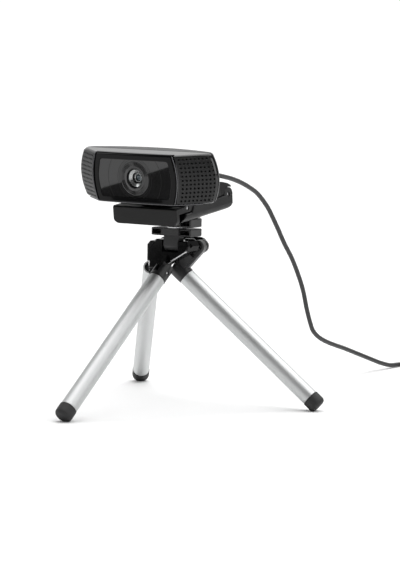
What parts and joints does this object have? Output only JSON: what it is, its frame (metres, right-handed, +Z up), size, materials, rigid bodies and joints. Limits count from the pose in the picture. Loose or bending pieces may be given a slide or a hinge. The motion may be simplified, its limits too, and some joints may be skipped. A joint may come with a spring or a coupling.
{
  "type": "webcam on tripod",
  "caption": "Wide webcam with side grilles on a folding monitor clip, screwed to a small table tripod with three hinged tube legs and a tilting head; USB lead.",
  "frame": {"origin": "on the table, under the middle of the object's box measured without its lead", "axes": "+Z up, the camera looks along -Y, +X is to the camera's left as it looks out"},
  "size_m": [0.2089, 0.3549, 0.1538],
  "materials": {
    "gloss_black": "glossy",
    "black_plastic": "satin, fine grain",
    "grille_black": "perforated, satin",
    "rubber": "matte",
    "leg_aluminium": "satin anodised",
    "steel": "satin",
    "sensor_black": "glossy",
    "brass": "machined",
    "window_black": "polished",
    "lens_glass": "coated",
    "board_green": "solder mask",
    "lamp_white": "clear",
    "plug_white": "satin",
    "cable_black": "satin"
  },
  "bodies": {
    "hub": {"hub": "gloss_black", "head_tilt_pin": "steel", "leg_pin_front": "steel", "leg_pin_right": "steel", "leg_pin_rear": "steel", "usb_cable": "cable_black", "cable_coil": "cable_black", "cable_tie": "rubber", "cable_tail": "cable_black", "plug_relief": "rubber", "plug_grip": "black_plastic", "plug_shell": "steel", "plug_insulator": "plug_white"},
    "leg_front": {"leg_tube_front": "leg_aluminium", "foot_cap_front": "rubber", "leg_fork_front": "black_plastic"},
    "leg_right": {"leg_tube_right": "leg_aluminium", "foot_cap_right": "rubber", "leg_crank_right": "black_plastic"},
    "leg_rear": {"leg_tube_rear": "leg_aluminium", "foot_cap_rear": "rubber", "leg_fork_rear": "black_plastic"},
    "head": {"tilt_stem": "black_plastic", "upper_plate": "black_plastic", "camera_screw": "steel", "clip_foot": "black_plastic", "clip_hinge_pin": "steel", "tripod_insert": "brass", "foot_pad": "rubber"},
    "clip": {"clip_arm": "black_plastic", "lip_pad": "rubber", "camera_hinge_pin": "steel", "cable_over_clip": "cable_black"},
    "camera": {"front_housing": "black_plastic", "rear_housing": "black_plastic", "front_bezel": "gloss_black", "front_window": "window_black", "lens_ring": "gloss_black", "lens_barrel": "black_plastic", "lens_glass": "lens_glass", "lens_holder": "black_plastic", "image_sensor": "sensor_black", "circuit_board": "board_green", "grille_left": "grille_black", "grille_right": "grille_black", "microphone_left": "steel", "microphone_right": "steel", "status_light_left": "lamp_white", "status_light_right": "lamp_white", "housing_screw_left": "steel", "housing_screw_right": "steel", "hinge_bracket": "black_plastic", "cable_relief": "rubber"}
  },
  "joints": [
    {"name": "leg_front_fold", "type": "hinge", "parent": "hub", "child": "leg_front", "pos_m": [-0.00583, 0.00355, 0.0792], "axis": [0.9981, -0.0623, 0], "range_deg": [0, 48.7]},
    {"name": "leg_right_fold", "type": "hinge", "parent": "hub", "child": "leg_right", "pos_m": [0.00657, 0.02464, 0.09397], "axis": [-0.278, 0.9606, 0], "range_deg": [0, 48.7]},
    {"name": "leg_rear_fold", "type": "hinge", "parent": "hub", "child": "leg_rear", "pos_m": [-0.02199, 0.01603, 0.0792], "axis": [-0.7635, -0.6459, 0], "range_deg": [0, 48.7]},
    {"name": "head_tilt", "type": "hinge", "parent": "hub", "child": "head", "pos_m": [-0.0028, 0.01144, 0.0955], "axis": [1, 0, 0], "range_deg": [-10, 10]},
    {"name": "clip_hinge", "type": "hinge", "parent": "head", "child": "clip", "pos_m": [-0.0028, 0.03534, 0.12535], "axis": [-1, 0, 0], "range_deg": [0, 75]},
    {"name": "camera_tilt", "type": "hinge", "parent": "clip", "child": "camera", "pos_m": [-0.0028, -0.00656, 0.1195], "axis": [1, 0, 0], "range_deg": [-12, 12]}
  ]
}
